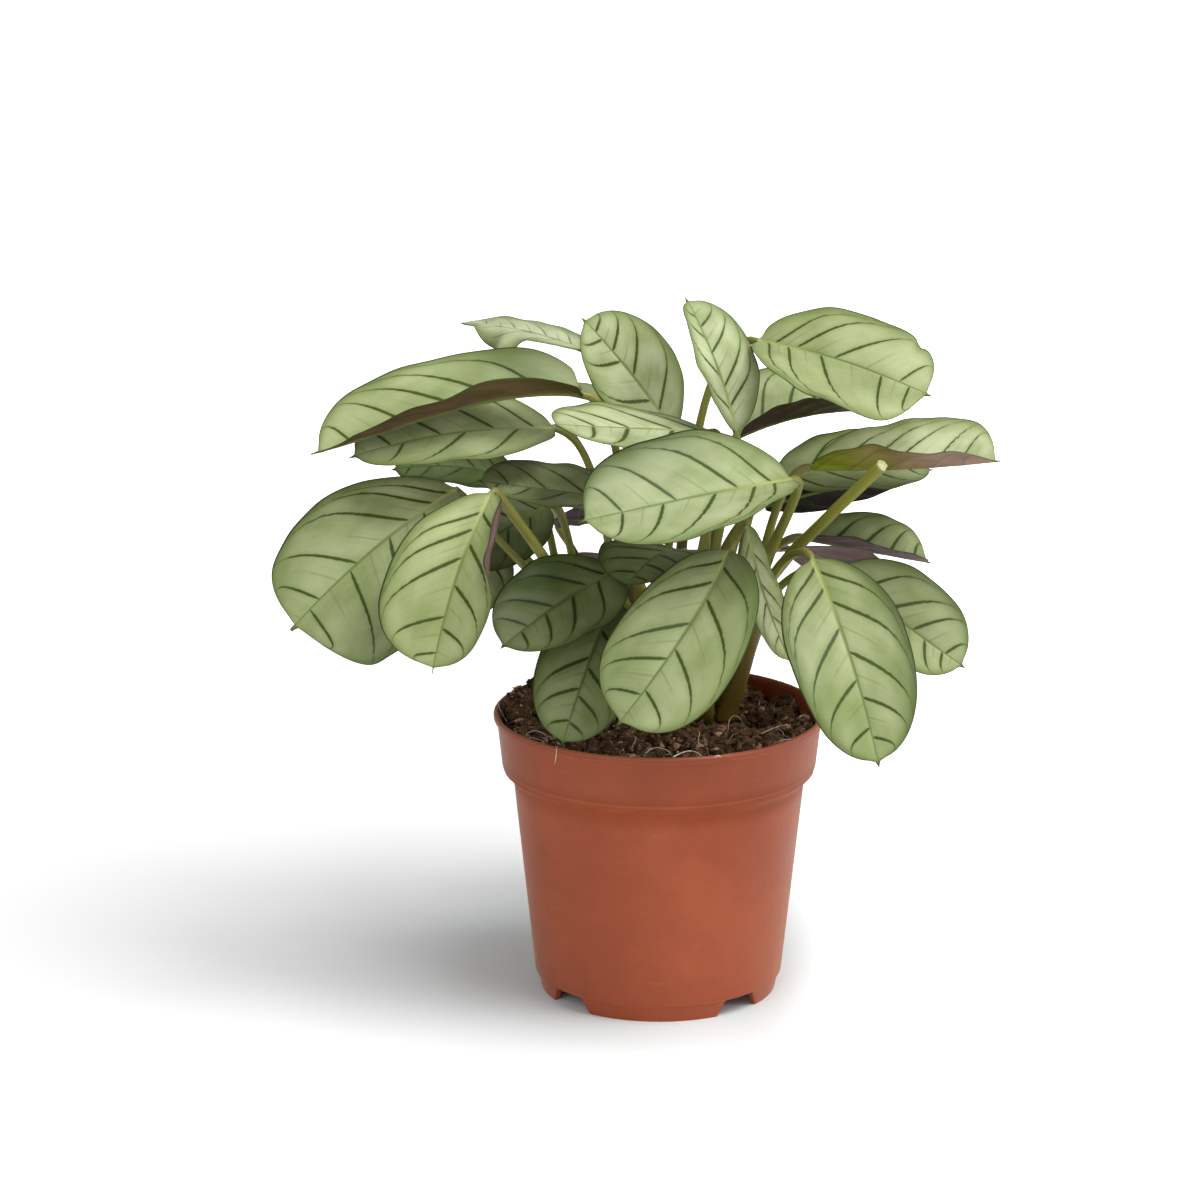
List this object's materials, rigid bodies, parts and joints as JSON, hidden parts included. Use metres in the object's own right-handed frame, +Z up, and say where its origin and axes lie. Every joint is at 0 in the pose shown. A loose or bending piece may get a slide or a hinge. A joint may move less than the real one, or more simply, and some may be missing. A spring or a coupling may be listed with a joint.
{
  "type": "potted ctenanthe",
  "caption": "Bushy ctenanthe with silvery green, dark-banded leaves on slim stalks, growing from peat in a terracotta-coloured plastic nursery pot.",
  "frame": {"origin": "on the resting surface, under the middle of the whole plant and pot", "axes": "+Z up, the pot's axis parallel to Z; the fuller front of the plant faces -Y, +X to its right"},
  "size_m": [0.2576, 0.2044, 0.254],
  "materials": {
    "terracotta_plastic": "satin moulded",
    "potting_soil": "loose moist peat",
    "green_stalk": "smooth, slightly waxy",
    "leaf_green": "satin with fine ribs"
  },
  "bodies": {
    "root": {"pot": "terracotta_plastic", "soil": "potting_soil", "main_shoot": "green_stalk", "cut_stalk": "green_stalk", "leaf_01": "leaf_green", "leaf_02": "leaf_green", "leaf_03": "leaf_green", "leaf_04": "leaf_green", "leaf_05": "leaf_green", "leaf_06": "leaf_green", "leaf_07": "leaf_green", "leaf_08": "leaf_green", "leaf_09": "leaf_green", "leaf_10": "leaf_green", "leaf_11": "leaf_green", "leaf_12": "leaf_green", "leaf_13": "leaf_green", "leaf_14": "leaf_green", "leaf_15": "leaf_green", "leaf_16": "leaf_green", "leaf_17": "leaf_green", "leaf_18": "leaf_green", "leaf_19": "leaf_green", "leaf_20": "leaf_green", "leaf_21": "leaf_green", "leaf_22": "leaf_green", "leaf_23": "leaf_green", "leaf_24": "leaf_green", "leaf_25": "leaf_green", "leaf_26": "leaf_green", "leaf_27": "leaf_green", "leaf_28": "leaf_green", "leaf_29": "leaf_green", "leaf_30": "leaf_green", "leaf_31": "leaf_green", "leaf_32": "leaf_green", "leaf_33": "leaf_green"}
  },
  "joints": []
}
